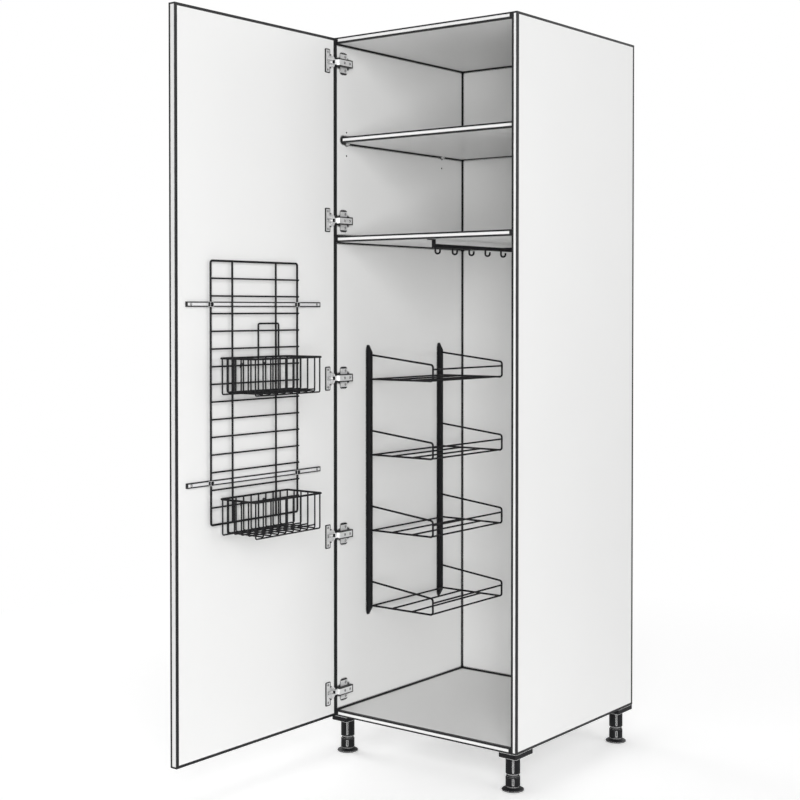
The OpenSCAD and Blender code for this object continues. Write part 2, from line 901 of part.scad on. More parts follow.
module at_plate_screws() {
    for (z = hinge_zs, up = [-1, 1])
        translate([-xi + wing_t, plate_row, z + up * plate_screw_pitch / 2])
            along_x()
                children();
}

module at_arm_screws() {
    for (z = hinge_zs, y = arm_screw_ys)
        translate([-xi + arm_h, y, z])
            along_x()
                children();
}

module at_cup_screws() {
    on_door()
        for (z = hinge_zs, up = [-1, 1])
            translate([flange_t, -cup_s - ear_back, z + up * cup_screw_pitch / 2])
                along_x()
                    children();
}

// Mounting plates: two screwed wings and a ridge that the arm slides over
module hinge_plates() {
    ridge_front = 10;
    ridge_w = arm_w - 2 * arm_wall;
    color(steel_c)
        difference() {
            for (z = hinge_zs)
                translate([-xi, 0, z]) {
                    translate([0, plate_row + 7 - wing_w, -wing_span / 2])
                        rotate([90, 0, 90])
                            linear_extrude(wing_t)
                                rounded_square(wing_w, wing_span, 4);
                    translate([0, ridge_front, -ridge_w / 2])
                        cube([arm_h - arm_wall, arm_reach - arm_wall - 4 - ridge_front, ridge_w]);
                }
            at_plate_screws()
                screw_hole(plate_screw_l, plate_screw_d, plate_screw_head_d);
            at_arm_screws()
                translate([0, 0, -arm_h + wing_t])
                    cylinder(r = arm_screw_d / 2 + fit, h = arm_h, $fn = small_fn);
        }
}

// Side view of the arm's nose, from the hinge axis: the ears hold the pins, the neck runs up past the edge
module arm_ears() {
    stadium([0, 0], arm_pin, cheek_r);
    polygon([[0, 0], [0.6, cheek_r - 0.15], [neck_x - 1.8, 0.2], [neck_x, 2], [neck_x, pole_r + door_gap],
        [neck_x + neck_t, pole_r + door_gap], [neck_x + neck_t, -0.5],
        [arm_pin[0] + 0.9, arm_pin[1] - cheek_r + 0.25]]);
}

// Arms: a channel over the ridge, a narrow neck round the edge of the side and two ears in the cup
module hinge_arms() {
    front_y = pole_r + door_gap;
    color(steel_c)
        difference() {
            for (z = hinge_zs)
                translate([pole[0], pole[1], z]) {
                    for (low = [cheek_in, -cheek_out])
                        translate([0, 0, low])
                            linear_extrude(cheek_out - cheek_in)
                                arm_ears();
                    translate([neck_x, neck_low, -cheek_out])
                        cube([neck_t, front_y - neck_low + arm_wall, 2 * cheek_out]);
                    translate([neck_x, front_y, -arm_w / 2])
                        cube([pole_r + arm_h - neck_x, arm_wall, arm_w]);
                    translate([pole_r + arm_h - arm_wall, front_y, -arm_w / 2])
                        cube([arm_wall, arm_reach, arm_w]);
                    for (low = [-arm_w / 2, arm_w / 2 - arm_wall])
                        translate([pole_r + arm_low, front_y, low])
                            cube([arm_h - arm_low, arm_reach, arm_wall]);
                }
            at_hinges()
                translate([0, 0, -cut - cheek_out])
                    cylinder(r = pole_pin_d / 2 + fit, h = 2 * (cheek_out + cut), $fn = small_fn);
            at_hinges()
                translate([arm_pin[0], arm_pin[1], -cut - cheek_out])
                    cylinder(r = link_pin_d / 2 + fit, h = 2 * (cheek_out + cut), $fn = small_fn);
            at_arm_screws()
                translate([0, 0, -arm_wall - cut])
                    cylinder(r = arm_screw_d / 2 + fit, h = arm_wall + 2 * cut, $fn = small_fn);
        }
}

// Control links: two flat bars joined by a bridge, with a long eye where the cup's pin runs
module hinge_links() {
    slot = [[link_l - link_slot_in, 0], [link_l + link_slot_out, 0]];
    color(steel_c)
        at_hinges()
            translate([arm_pin[0], arm_pin[1], 0])
                rotate([0, 0, heading(arm_pin, link_pin_open)]) {
                    for (low = [link_in, -link_out])
                        translate([0, 0, low])
                            linear_extrude(link_out - link_in)
                                difference() {
                                    union() {
                                        stadium([0, 0], [link_l, 0], link_r);
                                        stadium(slot[0], slot[1], link_end_r);
                                    }
                                    circle(r = link_pin_d / 2 + fit, $fn = small_fn);
                                    stadium(slot[0], slot[1], link_slot_r);
                                }
                    translate([link_l * 0.62, 0.7, -link_in - 0.5])
                        cube([3.6, link_r - 0.7, 2 * link_in + 1]);
                }
}

// Cups: shell, mounting flange, the knuckle that turns on the hinge pin and two lugs for the link's pin
module hinge_cups() {
    inner_r = cup_d / 2 - 0.1 - cup_wall;
    inner_depth = cup_depth - cup_floor;
    lug_n = link_pin_n - 2.4;
    color(steel_c)
        difference() {
            for (z = hinge_zs)
                on_door()
                    translate([0, -cup_s, z])
                        rotate([0, -90, 0]) {
                            difference() {
                                union() {
                                    cylinder(r = cup_d / 2 - 0.1, h = cup_depth);
                                    translate([0, 0, -flange_t])
                                        linear_extrude(flange_t)
                                            flange_outline();
                                }
                                translate([0, 0, -flange_t - cut])
                                    cylinder(r = inner_r, h = flange_t + cut + inner_depth);
                                translate([-7.3, 0, -flange_t - cut])
                                    cube([14.6, cup_d, flange_t + cut + inner_depth - 1]);
                            }
                            knuckle();
                            for (low = [cheek_in, -lug_out])
                                translate([low, cup_s - link_pin_s - 2.6, lug_n])
                                    cube([lug_out - cheek_in, 5.2, cup_depth - cup_floor / 2 - lug_n]);
                        }
            at_hinges()
                translate([0, 0, -knuckle_half - cut])
                    cylinder(r = pole_pin_d / 2 + fit, h = 2 * (knuckle_half + cut), $fn = small_fn);
            at_hinges()
                translate([link_pin_open[0], link_pin_open[1], -lug_out - cut])
                    cylinder(r = link_pin_d / 2 + fit, h = 2 * (lug_out + cut), $fn = small_fn);
            at_cup_screws()
                screw_hole(cup_screw_l, cup_screw_d, cup_screw_head_d);
        }
}

// Flange outline round the cup: x runs up the door and y towards its hinge edge
module flange_outline() {
    circle(r = cup_d / 2 + 1.4);
    translate([-flange_h / 2, -ear_back - flange_w / 2 - 1])
        rounded_square(flange_h, flange_w, 3);
}

// Knuckle in the cup: an eye on the hinge axis on a foot that stands on the cup's floor
module knuckle() {
    eye_y = cup_s - pole_r;
    inner_depth = cup_depth - cup_floor;
    rotate([0, 90, 0])
        translate([0, 0, -knuckle_half])
            linear_extrude(2 * knuckle_half) {
                translate([-pole_r, eye_y])
                    circle(r = knuckle_r, $fn = small_fn);
                polygon([[-pole_r - 0.5, eye_y + knuckle_r - 0.1], [-inner_depth - 0.5, eye_y + 1.5],
                    [-inner_depth - 0.5, eye_y - 5], [-pole_r - 0.5, eye_y - knuckle_r + 0.1]]);
            }
}

// Hinge pins and the links' stub pins, held by the ears of the arms
module hinge_arm_pins() {
    color(steel_c)
        at_hinges() {
            translate([0, 0, -cheek_out])
                cylinder(d = pole_pin_d, h = 2 * cheek_out, $fn = small_fn);
            for (low = [link_in, -cheek_out])
                translate([arm_pin[0], arm_pin[1], low])
                    cylinder(d = link_pin_d, h = cheek_out - link_in, $fn = small_fn);
        }
}

// Pins of the links in the cups
module hinge_cup_pins() {
    color(steel_c)
        at_hinges()
            translate([link_pin_open[0], link_pin_open[1], -lug_out])
                cylinder(d = link_pin_d, h = 2 * lug_out, $fn = small_fn);
}

module hinge_arm_screws() {
    color(steel_c)
        at_arm_screws()
            pan_screw(arm_h - wing_t - 1, arm_screw_d, arm_screw_head_d, arm_screw_head_h);
}

module hinge_plate_screws() {
    color(steel_c)
        at_plate_screws()
            screw(plate_screw_l, plate_screw_d, plate_screw_head_d);
}

module hinge_cup_screws() {
    color(steel_c)
        at_cup_screws()
            screw(cup_screw_l, cup_screw_d, cup_screw_head_d);
}

// Rails and grid on the door

module at_rail_screws() {
    on_door()
        for (z = rail_zs, s = [rail_start + rail_screw_inset, rail_start + rail_l - rail_screw_inset])
            translate([rail_t, -s, z])
                along_x()
                    children();
}

module door_rail(z) {
    color(alu_c)
        difference() {
            on_door()
                translate([0, -rail_start - rail_l, z - rail_h / 2])
                    cube([rail_t, rail_l, rail_h]);
            at_rail_screws()
                screw_hole(rail_screw_l, rail_screw_d, rail_screw_head_d);
        }
}

module door_rail_lower() { door_rail(rail_zs[0]); }
module door_rail_upper() { door_rail(rail_zs[1]); }

module door_rail_screws() {
    color(steel_c)
        at_rail_screws()
            screw(rail_screw_l, rail_screw_d, rail_screw_head_d);
}

// Height of a cross wire, counted from the lowest
function cross_z(row) = z0 + grid_z + row * grid_pitch;

// Wire grid: a bent frame, two upright wires in its plane and cross wires welded to its front
module door_grid() {
    near = -grid_start;
    far = -grid_start - grid_w;
    color(black_c)
        on_door() {
            facing_side(grid_x)
                wire([[near, cross_z(0)], [near, cross_z(grid_rows)], [far, cross_z(grid_rows)],
                    [far, cross_z(0)]], grid_bend, frame_wire_d, closed = true);
            for (y = [near - grid_near, far + grid_far])
                rod([grid_x, y, cross_z(0)], [grid_x, y, cross_z(grid_rows)], frame_wire_d - 0.3);
            for (row = [1 : grid_rows - 1])
                rod([cross_x, near + 1, cross_z(row)], [cross_x, far - 1, cross_z(row)], cross_wire_d);
        }
}

// Saddles that hold the frame's upright wires against the rails
module grid_clips() {
    color(black_c)
        on_door()
            difference() {
                for (y = [-grid_start, -grid_start - grid_w], z = rail_zs)
                    translate([rail_t, y - clip_w / 2, z - rail_h / 2 + 0.5])
                        cube([grid_x - rail_t + frame_wire_d / 2 + clip_t - seat_gap, clip_w, rail_h - 1]);
                for (y = [-grid_start, -grid_start - grid_w])
                    translate([grid_x, y, cross_z(0)])
                        cylinder(r = frame_wire_d / 2 + fit, h = grid_h, $fn = wire_fn);
            }
}

// Baskets

// A hanging basket whose hooks lie over the given cross wire of the grid
module basket(row) {
    rim_z = cross_z(row) + hang_drop;
    floor_z = rim_z - basket_h;
    y0 = -basket_start - basket_w;
    step_y = basket_w / (basket_bars - 1);
    step_x = basket_d / (basket_end_bars - 1);
    hook_z = cross_z(row) + cross_wire_d / 2 + seat_gap + bar_d / 2;
    hook_x = cross_x - cross_wire_d / 2 - seat_gap - bar_d / 2;
    ring_z = floor_z - bar_d + 0.5;
    bar_bend = 4;
    translate([0, 0, rim_z])
        wire([[basket_x, y0], [basket_x + basket_d, y0], [basket_x + basket_d, y0 + basket_w],
            [basket_x, y0 + basket_w]], 6, rim_wire_d, closed = true);
    // Bars across, each bent down the front, under the floor and up the back
    for (k = [1 : basket_bars - 2])
        facing_front(y0 + k * step_y)
            wire([[basket_x, rim_z], [basket_x, floor_z], [basket_x + basket_d, floor_z],
                [basket_x + basket_d, rim_z]], bar_bend, bar_d);
    // Bars along, each bent down one end, over the floor and up the other end
    for (k = [1 : basket_end_bars - 2])
        facing_side(basket_x + k * step_x)
            wire([[y0, rim_z], [y0, floor_z + bar_d - 0.5], [y0 + basket_w, floor_z + bar_d - 0.5],
                [y0 + basket_w, rim_z]], bar_bend, bar_d);
    // Corner bars, each pair bent from one wire that runs under the floor
    for (x = [basket_x + bar_d - 0.5, basket_x + basket_d - bar_d + 0.5])
        facing_side(x)
            wire([[y0 + bar_d, rim_z - 0.4], [y0 + bar_d, ring_z],
                [y0 + basket_w - bar_d, ring_z], [y0 + basket_w - bar_d, rim_z - 0.4]],
                bar_bend, bar_d);
    // Hooks over the grid wire
    for (k = [3, basket_bars - 4])
        facing_front(y0 + k * step_y)
            wire([[basket_x, hook_z], [hook_x, hook_z], [hook_x, hook_z - hook_drop]], 2, bar_d - 0.2);
}

module basket_lower() {
    color(black_c)
        on_door()
            basket(lower_row);
}

// The upper basket also has a loop that stands up at its back
module basket_upper() {
    rim_z = cross_z(upper_row) + hang_drop;
    y0 = -basket_start - loop_start;
    color(black_c)
        on_door() {
            basket(upper_row);
            facing_side(basket_x)
                wire([[y0, rim_z], [y0, rim_z + loop_h], [y0 - loop_w, rim_z + loop_h], [y0 - loop_w, rim_z]],
                    5, rim_wire_d - 0.6);
        }
}

// Wall rack

module at_rack_screws() {
    for (y = uprights_y, z = [rack_screw_inset, upright_l / 2, upright_l - rack_screw_inset])
        translate([-xi + upright_d, y, z0 + rack_z + z])
            along_x()
                children();
}

// Side view of an upright, drawn in by the given amount
module upright_outline(inset) {
    polygon([[-inset, inset * 1.4], [upright_d - inset, upright_slant + inset * 0.5],
        [upright_d - inset, upright_l - upright_slant - inset * 0.5], [-inset, upright_l - inset * 1.4]]);
}

// Upright of folded sheet, open towards the side board, with slanted ends and holes for the trays' wires
module rack_upright(y) {
    color(black_c)
        difference() {
            translate([-xi, y + upright_w / 2, z0 + rack_z])
                rotate([90, 0, 0])
                    linear_extrude(upright_w)
                        upright_outline(0);
            translate([-xi, y + upright_w / 2 - upright_t, z0 + rack_z])
                rotate([90, 0, 0])
                    linear_extrude(upright_w - 2 * upright_t)
                        upright_outline(upright_t);
            for (z = tray_zs, up = [0, tray_side_h])
                translate([-xi + upright_d / 2, y, z + up])
                    along_x()
                        cylinder(r = tray_wire_d / 2 + seat_gap, h = upright_d, $fn = small_fn);
            at_rack_screws()
                screw_hole(rack_screw_l, rack_screw_d, rack_screw_head_d);
        }
}

module rack_upright_front() { rack_upright(uprights_y[0]); }
module rack_upright_rear() { rack_upright(uprights_y[1]); }

// Wire tray: a bent side wire at each end, floor wires and a raised outer rail between them
module rack_tray(z) {
    inner = upright_d - 4;
    outer = tray_reach - tray_wire_d / 2;
    first = upright_d + 4;
    step = (outer - first - tray_bend / 2) / (floor_wires - 1);
    color(black_c)
        translate([-xi, 0, z]) {
            for (y = uprights_y)
                facing_front(y)
                    wire([[inner, tray_side_h], [outer, tray_end_h], [outer, 0], [inner, 0]], tray_bend,
                        tray_wire_d, swell = bend_swell);
            for (k = [0 : floor_wires - 2])
                cross_rod(first + k * step, 0);
            // The outermost floor wire lies in the bends of the side wires
            cross_rod(outer - tray_bend / 2, tray_bend * (1 - cos(30)));
            cross_rod(outer, tray_rail_h);
        }
}

// A straight wire between a tray's side wires
module cross_rod(x, z) {
    rod([x, uprights_y[0] + 1, z], [x, uprights_y[1] - 1, z], floor_wire_d);
}

module rack_tray_1() { rack_tray(tray_zs[0]); }
module rack_tray_2() { rack_tray(tray_zs[1]); }
module rack_tray_3() { rack_tray(tray_zs[2]); }
module rack_tray_4() { rack_tray(tray_zs[3]); }

module rack_screws() {
    color(steel_c)
        at_rack_screws()
            screw(rack_screw_l, rack_screw_d, rack_screw_head_d);
}

// Hook rail

module at_hook_screws() {
    for (y = [hook_rail_front - hook_rail_foot / 2, hook_rail_front + hook_rail_l + hook_rail_foot / 2])
        translate([hook_rail_x, y, z0 + fixed_shelf_z - hook_rail_t])
            rotate([180, 0, 0])
                children();
}

function hook_y(k) = hook_rail_front + hook_start + k * hook_pitch;

// Folded rail, open at the top, with an upright at each end and feet that point away from it under the shelf
module hook_rail() {
    shelf_under = z0 + fixed_shelf_z;
    ends = [hook_rail_front, hook_rail_front + hook_rail_l];
    color(black_c)
        difference() {
            union() {
                difference() {
                    translate([hook_rail_x - hook_rail_w / 2, ends[0], hook_rail_z])
                        cube([hook_rail_w, hook_rail_l, hook_rail_h]);
                    translate([hook_rail_x - hook_rail_w / 2 + hook_rail_t, ends[0] + hook_rail_t,
                        hook_rail_z + hook_rail_t])
                        cube([hook_rail_w - 2 * hook_rail_t, hook_rail_l - 2 * hook_rail_t, hook_rail_h]);
                }
                for (y = [ends[0], ends[1] - hook_rail_t])
                    translate([hook_rail_x - hook_rail_w / 2, y, hook_rail_z])
                        cube([hook_rail_w, hook_rail_t, shelf_under - hook_rail_z]);
                for (y = [ends[0] - hook_rail_foot, ends[1]])
                    translate([hook_rail_x - hook_rail_w / 2, y, shelf_under - hook_rail_t])
                        cube([hook_rail_w, hook_rail_foot, hook_rail_t]);
            }
            for (k = [0 : hook_n - 1])
                translate([hook_rail_x, hook_y(k), hook_rail_z - cut])
                    cylinder(r = hook_wire_d / 2 + fit, h = hook_rail_t + 2 * cut, $fn = wire_fn);
            at_hook_screws()
                screw_hole(hook_screw_l, hook_screw_d, hook_screw_head_d);
        }
}

// Hooks with a riveted head in the rail, bent round and up towards the right
module rail_hooks() {
    low = -hook_reach + hook_wire_d / 2;
    color(black_c)
        for (k = [0 : hook_n - 1])
            translate([hook_rail_x, hook_y(k), hook_rail_z]) {
                facing_front(0)
                    wire([[0, hook_rail_t + 1], [0, low], [hook_w, low],
                        [hook_w, low + hook_bend + hook_tip]], hook_bend, hook_wire_d);
                translate([0, 0, hook_rail_t])
                    cylinder(d = hook_wire_d + 3, h = 2, $fn = small_fn);
            }
}

module hook_rail_screws() {
    color(steel_c)
        at_hook_screws()
            screw(hook_screw_l, hook_screw_d, hook_screw_head_d);
}

left_side();
right_side();
top_panel();
bottom_panel();
back_panel();
fixed_shelf();
adjustable_shelf();
edge_bands();
shelf_edge_band();
shelf_pins();
carcass_dowels();
cam_bolts();
cam_locks();
back_screws();
leg_socket_front_left();
leg_socket_front_right();
leg_socket_rear_left();
leg_socket_rear_right();
leg_foot_front_left();
leg_foot_front_right();
leg_foot_rear_left();
leg_foot_rear_right();
leg_screws();
door();
door_edge_bands();
hinge_plates();
hinge_arms();
hinge_cups();
hinge_links();
hinge_arm_pins();
hinge_cup_pins();
hinge_arm_screws();
hinge_plate_screws();
hinge_cup_screws();
door_rail_lower();
door_rail_upper();
door_rail_screws();
door_grid();
grid_clips();
basket_lower();
basket_upper();
rack_upright_front();
rack_upright_rear();
rack_tray_1();
rack_tray_2();
rack_tray_3();
rack_tray_4();
rack_screws();
hook_rail();
rail_hooks();
hook_rail_screws();
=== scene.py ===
"""Looks of a tall white housing cabinet with black wire fittings: finishes, screws, light and camera."""

import json
import math

import bpy
import numpy as np
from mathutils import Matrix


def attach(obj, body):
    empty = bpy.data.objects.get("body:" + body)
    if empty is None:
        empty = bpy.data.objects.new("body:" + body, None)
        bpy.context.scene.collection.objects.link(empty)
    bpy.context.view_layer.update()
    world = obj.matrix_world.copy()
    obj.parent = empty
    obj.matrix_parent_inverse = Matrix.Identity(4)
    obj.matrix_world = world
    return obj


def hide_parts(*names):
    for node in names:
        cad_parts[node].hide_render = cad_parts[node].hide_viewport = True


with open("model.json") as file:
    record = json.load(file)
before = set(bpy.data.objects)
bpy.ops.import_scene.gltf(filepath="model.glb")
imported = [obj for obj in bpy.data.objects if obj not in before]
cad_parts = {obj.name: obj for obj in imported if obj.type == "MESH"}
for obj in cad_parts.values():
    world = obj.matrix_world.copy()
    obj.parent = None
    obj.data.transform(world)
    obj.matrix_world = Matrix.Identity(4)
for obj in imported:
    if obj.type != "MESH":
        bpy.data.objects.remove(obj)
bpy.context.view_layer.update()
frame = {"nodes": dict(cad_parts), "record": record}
NODES = frame["nodes"]


def node_points(node):
    """A CAD node's vertices as an array, in metres."""
    mesh = NODES[node].data
    flat = np.empty(len(mesh.vertices) * 3, np.float32)
    mesh.vertices.foreach_get("co", flat)
    return flat.reshape(-1, 3).astype(float)


# Finishes


class Finish:
    """A finish being mixed: a principled shader whose patterns read the piece's own object coordinates."""

    def __init__(self, name, colour, roughness, metallic=0.0, specular=0.5):
        self.material = bpy.data.materials.new(name)
        self.material.use_nodes = True
        self.tree = self.material.node_tree
        self.shader = self.tree.nodes["Principled BSDF"]
        self.shader.inputs["Base Color"].default_value = (*colour, 1.0)
        self.shader.inputs["Roughness"].default_value = roughness
        self.shader.inputs["Metallic"].default_value = metallic
        self.shader.inputs["Specular IOR Level"].default_value = specular
        self.point = self.tree.nodes.new("ShaderNodeTexCoord").outputs["Object"]

    def node(self, kind, inputs=None, **settings):
        """Adds a node. An input is a plain value, or the output of another node to link in."""
        made = self.tree.nodes.new(kind)
        for key, value in settings.items():
            setattr(made, key, value)
        for key, value in (inputs or {}).items():
            if isinstance(value, bpy.types.NodeSocket):
                self.tree.links.new(value, made.inputs[key])
            else:
                made.inputs[key].default_value = value
        return made

    def noise(self, scale, detail=2.0, stretch=None):
        """Noise with so many cells to a metre, drawn out along an axis where the stretch is under 1."""
        point = self.point
        if stretch:
            point = self.node("ShaderNodeMapping", {"Vector": point, "Scale": stretch}).outputs["Vector"]
        cells = {"Vector": point, "Scale": scale, "Detail": detail}
        return self.node("ShaderNodeTexNoise", cells).outputs["Fac"]

    def spread(self, value, low, high, start=0.0, end=1.0):
        """Carries a value from the range start..end to the range low..high, and keeps it inside."""
        ends = {"Value": value, "From Min": start, "From Max": end, "To Min": low, "To Max": high}
        return self.node("ShaderNodeMapRange", ends).outputs["Result"]

    def blend(self, share, first, second):
        """The first colour at share 0 and the second at share 1."""
        first = (*first, 1.0) if isinstance(first, tuple) else first
        second = (*second, 1.0) if isinstance(second, tuple) else second
        return self.node("ShaderNodeMix", {0: share, 6: first, 7: second}, data_type="RGBA").outputs[2]

    def sums(self, kind, first, second):
        """One sum of two values."""
        return self.node("ShaderNodeMath", {0: first, 1: second}, operation=kind).outputs["Value"]

    def along(self, axis):
        """The coordinate along X, Y or Z, numbered 0, 1 and 2."""
        return self.node("ShaderNodeSeparateXYZ", {"Vector": self.point}).outputs[axis]

    def near(self, axis, places, width):
        """1 within the width of one of the planes that cross the axis at the given places."""
        near_any = 0.0
        for place in places:
            sides = {0: self.along(axis), 1: place, 2: width}
            near_one = self.node("ShaderNodeMath", sides, operation="COMPARE").outputs["Value"]
            near_any = self.sums("MAXIMUM", near_one, near_any)
        return near_any

    def outline(self, places, widths):
        """1 along the edges of a board whose faces lie at the given places: where two are near at once."""
        x, y, z = [self.near(axis, places[axis], widths[axis]) for axis in range(3)]
        return self.sums("GREATER_THAN", self.sums("ADD", self.sums("ADD", x, y), z), 1.5)

    def turned(self, width, start=0.92, end=0.98):
        """1 on the flats and 0 along the edges: how far the normal turns when averaged over the width."""
        rounded = self.node("ShaderNodeBevel", {"Radius": width}, samples=8).outputs["Normal"]
        flat = self.node("ShaderNodeNewGeometry").outputs["Normal"]
        both = {0: rounded, 1: flat}
        alike = self.node("ShaderNodeVectorMath", both, operation="DOT_PRODUCT").outputs["Value"]
        return self.spread(alike, 0.0, 1.0, start, end)

    def joints(self, width, start=0.76, end=0.90):
        """Painted shade: 1 in the open and 0 where another piece meets the surface, by the light kept out
        over the width.
        """
        unshaded_share = self.node("ShaderNodeAmbientOcclusion", {"Distance": width}, samples=12).outputs["AO"]
        return self.spread(unshaded_share, 0.0, 1.0, start, end)

    def colour(self, value):
        """Links a colour to the shader."""
        self.tree.links.new(value, self.shader.inputs["Base Color"])

    def roughness(self, value):
        """Links a roughness to the shader."""
        self.tree.links.new(value, self.shader.inputs["Roughness"])

    def bump(self, height, distance, strength=1.0):
        """Raises the surface by up to the given distance in metres where the height is 1."""
        made = self.node("ShaderNodeBump", {"Height": height, "Distance": distance, "Strength": strength})
        self.tree.links.new(made.outputs["Normal"], self.shader.inputs["Normal"])


# Colours, as linear red, green and blue
CORE = (0.012, 0.012, 0.013)
WHITE = (0.86, 0.86, 0.855)
HARDBOARD_WHITE = (0.85, 0.85, 0.845)
ALUMINIUM = (0.90, 0.90, 0.905)
NICKEL = (0.90, 0.90, 0.90)
BLACK = (0.006, 0.006, 0.007)
BLACKENED = (0.010, 0.010, 0.011)
# Pale grey of the highlights painted along the leg plastic's edges
EDGE_HIGHLIGHT_GREY = (0.70, 0.70, 0.70)

# Widths of the dark lines, in metres. The slant line is for edges that the photograph shows at a slant
BOARD_LINE = 0.0065
SLANT_LINE = 0.0080
BAND_LINE = 0.0045
WIDE_LINE = 0.0065
THIN_LINE = 0.0030
# Width over which painted shade darkens corners where pieces meet
CORNER_SHADE_WIDTH = 0.009
HINGE_SIDE_LINE = 0.0034
HINGE_END_LINE = 0.0028

# Half the width of a hinge cup's flange, in metres
FLANGE_HALF = 0.0105


def melamine(name, white, lines, corner_shade_width=None):
    """White facing on a dark core: faint clouding, orange-peel, the core's line along edges, painted shade
    in corners.

    The lines are given as a function that draws them on the finish: 1 on a line and 0 on the facing.
    """
    finish = Finish(name, white, 0.42, specular=0.3)
    face = finish.blend(finish.noise(3.0), white, tuple(0.975 * c for c in white))
    face = finish.blend(lines(finish), face, CORE)
    # Painted shade: where another piece is near, the facing darkens to the core's colour
    if corner_shade_width:
        face = finish.blend(finish.joints(corner_shade_width), CORE, face)
    finish.colour(face)
    finish.roughness(finish.spread(finish.noise(40.0), 0.36, 0.48))
    finish.bump(finish.noise(1400.0, 1.0), 0.00003)
    return finish.material


def board_lines(node, width, along_y=None, along_x=None, past=0.0):
    """The outline of a board, from the box round its CAD node.

    Its width in X and in Y can differ from its width in Z. Where past is given, the line along the far face
    in X is measured from a plane that much further out, so that it shows narrower.
    """
    points = node_points(node)
    low, high = points.min(axis=0), points.max(axis=0)
    high[0] += past
    places = list(zip(low.tolist(), high.tolist()))
    widths = (along_x or width, along_y or width, width)
    return lambda finish: finish.outline(places, widths)


def carcass_band_lines(width, inner_width, outer_width):
    """Outlines of the front bands: the upright ones run through, so the others' lines stop between them.

    The upright bands have a line of its own width along each edge. The outer one is measured from a plane
    outside the side, so that both can be drawn with the inner width.
    """
    side = node_points("left_side")
    outer, inner = side[:, 0].min(), side[:, 0].max()
    floor_end, top_end = side[:, 2].min(), side[:, 2].max()
    boards = ["bottom_panel", "fixed_shelf", "top_panel"]
    heights = [end(node_points(board)[:, 2]) for board in boards for end in (np.min, np.max)]

    def draw(finish):
        across = finish.node("ShaderNodeMath", {0: finish.along(0)}, operation="ABSOLUTE").outputs["Value"]
        between = finish.sums("LESS_THAN", across, float(-inner))
        lying = finish.sums("MULTIPLY", between, finish.near(2, [float(z) for z in heights], width))
        ends = finish.near(2, [float(floor_end), float(top_end)], width)
        rim = outer + outer_width - inner_width
        standing = finish.near(0, [float(x) for x in (rim, inner, -inner, -rim)], inner_width)
        return finish.sums("MAXIMUM", finish.sums("MAXIMUM", lying, ends), standing)
    return draw


def hinge_lines(node, crossings, apart=0.1):
    """Outlines on the five copies of a hinge part: near their ends in Z, and near planes across Y.

    The copies are told apart by the empty heights between them.
    """
    heights = np.sort(node_points(node)[:, 2])
    breaks = np.flatnonzero(np.diff(heights) > apart)
    ends = np.concatenate([heights[[0, -1]], heights[breaks], heights[breaks + 1]]).tolist()
    return lambda finish: finish.sums("MAXIMUM", finish.near(1, crossings, HINGE_SIDE_LINE),
                                      finish.near(2, ends, HINGE_END_LINE))


def plated(name, tone, lines=None):
    """Nickel-plated steel: a pale satin skin with faint rolling marks, and dark outlines or edges."""
    finish = Finish(name, tone, 0.34, metallic=0.45)
    marks = finish.noise(900.0, 2.0, stretch=(0.15, 1.0, 1.0))
    metal = finish.blend(marks, tone, tuple(0.92 * c for c in tone))
    if lines:
        finish.colour(finish.blend(lines(finish), metal, CORE))
    else:
        finish.colour(finish.blend(finish.turned(0.0015), CORE, metal))
    finish.roughness(finish.spread(marks, 0.28, 0.42))
    finish.bump(marks, 0.00001)
    return finish.material


def anodised(name, tone, lines):
    """Clear anodised aluminium: pale and dull, brushed along Y as the rails lie on the open door."""
    finish = Finish(name, tone, 0.42, metallic=0.35)
    grain = finish.noise(2600.0, 3.0, stretch=(1.0, 0.02, 1.0))
    metal = finish.blend(grain, tone, tuple(0.95 * c for c in tone))
    finish.colour(finish.blend(lines(finish), metal, CORE))
    finish.roughness(finish.spread(grain, 0.36, 0.50))
    finish.bump(grain, 0.00001)
    return finish.material


def powder_coat(name, tone):
    """Black powder coat: a fine pebbled skin, a little duller where the coat is thin."""
    finish = Finish(name, tone, 0.55, specular=0.2)
    pebble = finish.noise(2200.0, 1.5)
    finish.colour(finish.blend(finish.noise(60.0), tone, tuple(1.6 * c for c in tone)))
    finish.roughness(finish.spread(pebble, 0.48, 0.64))
    finish.bump(pebble, 0.00004)
    return finish.material


def moulded(name, tone, edge_highlight):
    """Moulded plastic: a spark-eroded grain, and pale edges painted on as highlights."""
    finish = Finish(name, tone, 0.5, specular=0.2)
    grain = finish.noise(1500.0, 2.0)
    body = finish.blend(finish.noise(25.0), tone, tuple(1.3 * c for c in tone))
    # Painted highlight: edges, found by how far the normal turns, go pale grey
    finish.colour(finish.blend(finish.turned(0.0022), edge_highlight, body))
    finish.roughness(finish.spread(grain, 0.44, 0.58))
    finish.bump(grain, 0.00004)
    return finish.material


def beech(name):
    """Pressed beech of the dowels: short dark flecks along X on a pale ground."""
    finish = Finish(name, (0.78, 0.60, 0.40), 0.6)
    fleck = finish.noise(900.0, 3.0, stretch=(0.12, 1.0, 1.0))
    dark_share = finish.spread(fleck, 0.0, 1.0, 0.45, 0.7)
    finish.colour(finish.blend(dark_share, (0.80, 0.62, 0.42), (0.55, 0.38, 0.22)))
    finish.bump(fleck, 0.00008)
    return finish.material


def cast_zinc(name):
    """Cam locks: dull grey castings with a grainy skin."""
    finish = Finish(name, (0.5, 0.5, 0.52), 0.5, metallic=1.0)
    grain = finish.noise(1200.0, 2.0)
    finish.colour(finish.blend(grain, (0.52, 0.52, 0.54), (0.40, 0.40, 0.42)))
    finish.roughness(finish.spread(grain, 0.42, 0.6))
    finish.bump(grain, 0.00005)
    return finish.material


